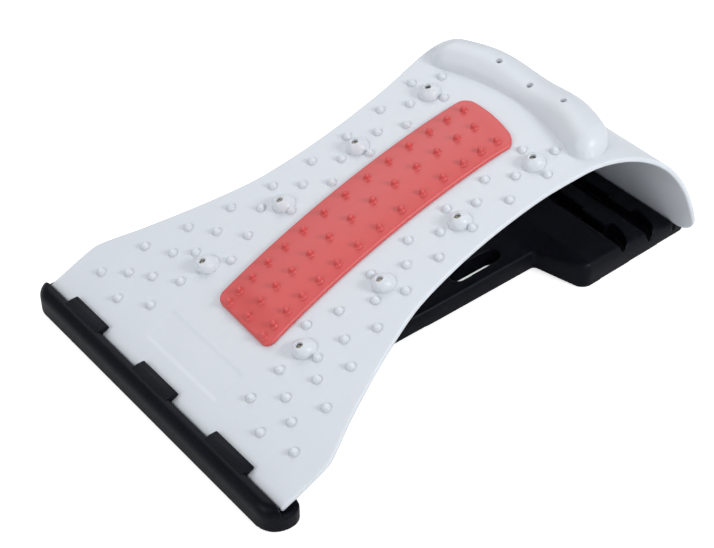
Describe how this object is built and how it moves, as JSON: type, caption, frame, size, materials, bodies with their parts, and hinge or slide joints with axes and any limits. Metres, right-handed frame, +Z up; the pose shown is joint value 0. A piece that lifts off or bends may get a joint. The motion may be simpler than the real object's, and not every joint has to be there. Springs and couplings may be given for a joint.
{
  "type": "neck stretcher",
  "caption": "Arched neck stretcher: a hollow black base holds a flexed white board with magnets in domes, massage studs, a raised neck pillow and a soft red studded pad.",
  "frame": {"origin": "on the floor, under the middle of the overall length and width", "axes": "+X from the front foot towards the rear block, +Y to the left side, +Z up"},
  "size_m": [0.308, 0.203, 0.0884],
  "materials": {
    "base_black": "moulded black plastic with a fine matte texture",
    "foot_rubber": "dark grey anti-slip rubber",
    "board_white": "moulded bluish white plastic, satin",
    "plug_white": "plain bluish white plastic",
    "pad_red": "soft red rubber, satin",
    "tape_clear": "thin double-sided tape",
    "magnet_metal": "plated magnet disc, slightly brown"
  },
  "bodies": {
    "base": {"base": "base_black", "rubber_foot_1": "foot_rubber", "rubber_foot_2": "foot_rubber", "rubber_foot_3": "foot_rubber", "rubber_foot_4": "foot_rubber"},
    "board": {"arch_board": "board_white", "pad_tape": "tape_clear", "red_pad": "pad_red", "boss_magnet_1": "magnet_metal", "boss_magnet_2": "magnet_metal", "boss_magnet_3": "magnet_metal", "boss_magnet_4": "magnet_metal", "boss_magnet_5": "magnet_metal", "boss_magnet_6": "magnet_metal", "boss_magnet_7": "magnet_metal", "boss_magnet_8": "magnet_metal", "boss_magnet_plug_1": "plug_white", "boss_magnet_plug_2": "plug_white", "boss_magnet_plug_3": "plug_white", "boss_magnet_plug_4": "plug_white", "boss_magnet_plug_5": "plug_white", "boss_magnet_plug_6": "plug_white", "boss_magnet_plug_7": "plug_white", "boss_magnet_plug_8": "plug_white", "pillow_magnet_1": "magnet_metal", "pillow_magnet_2": "magnet_metal", "pillow_magnet_3": "magnet_metal", "pillow_magnet_plug_1": "plug_white", "pillow_magnet_plug_2": "plug_white", "pillow_magnet_plug_3": "plug_white"}
  },
  "joints": [
    {"name": "board_tilt", "type": "hinge", "parent": "base", "child": "board", "pos_m": [-0.1448, 0, 0.0096], "axis": [0, -1, 0], "range_deg": [0, 8]}
  ]
}
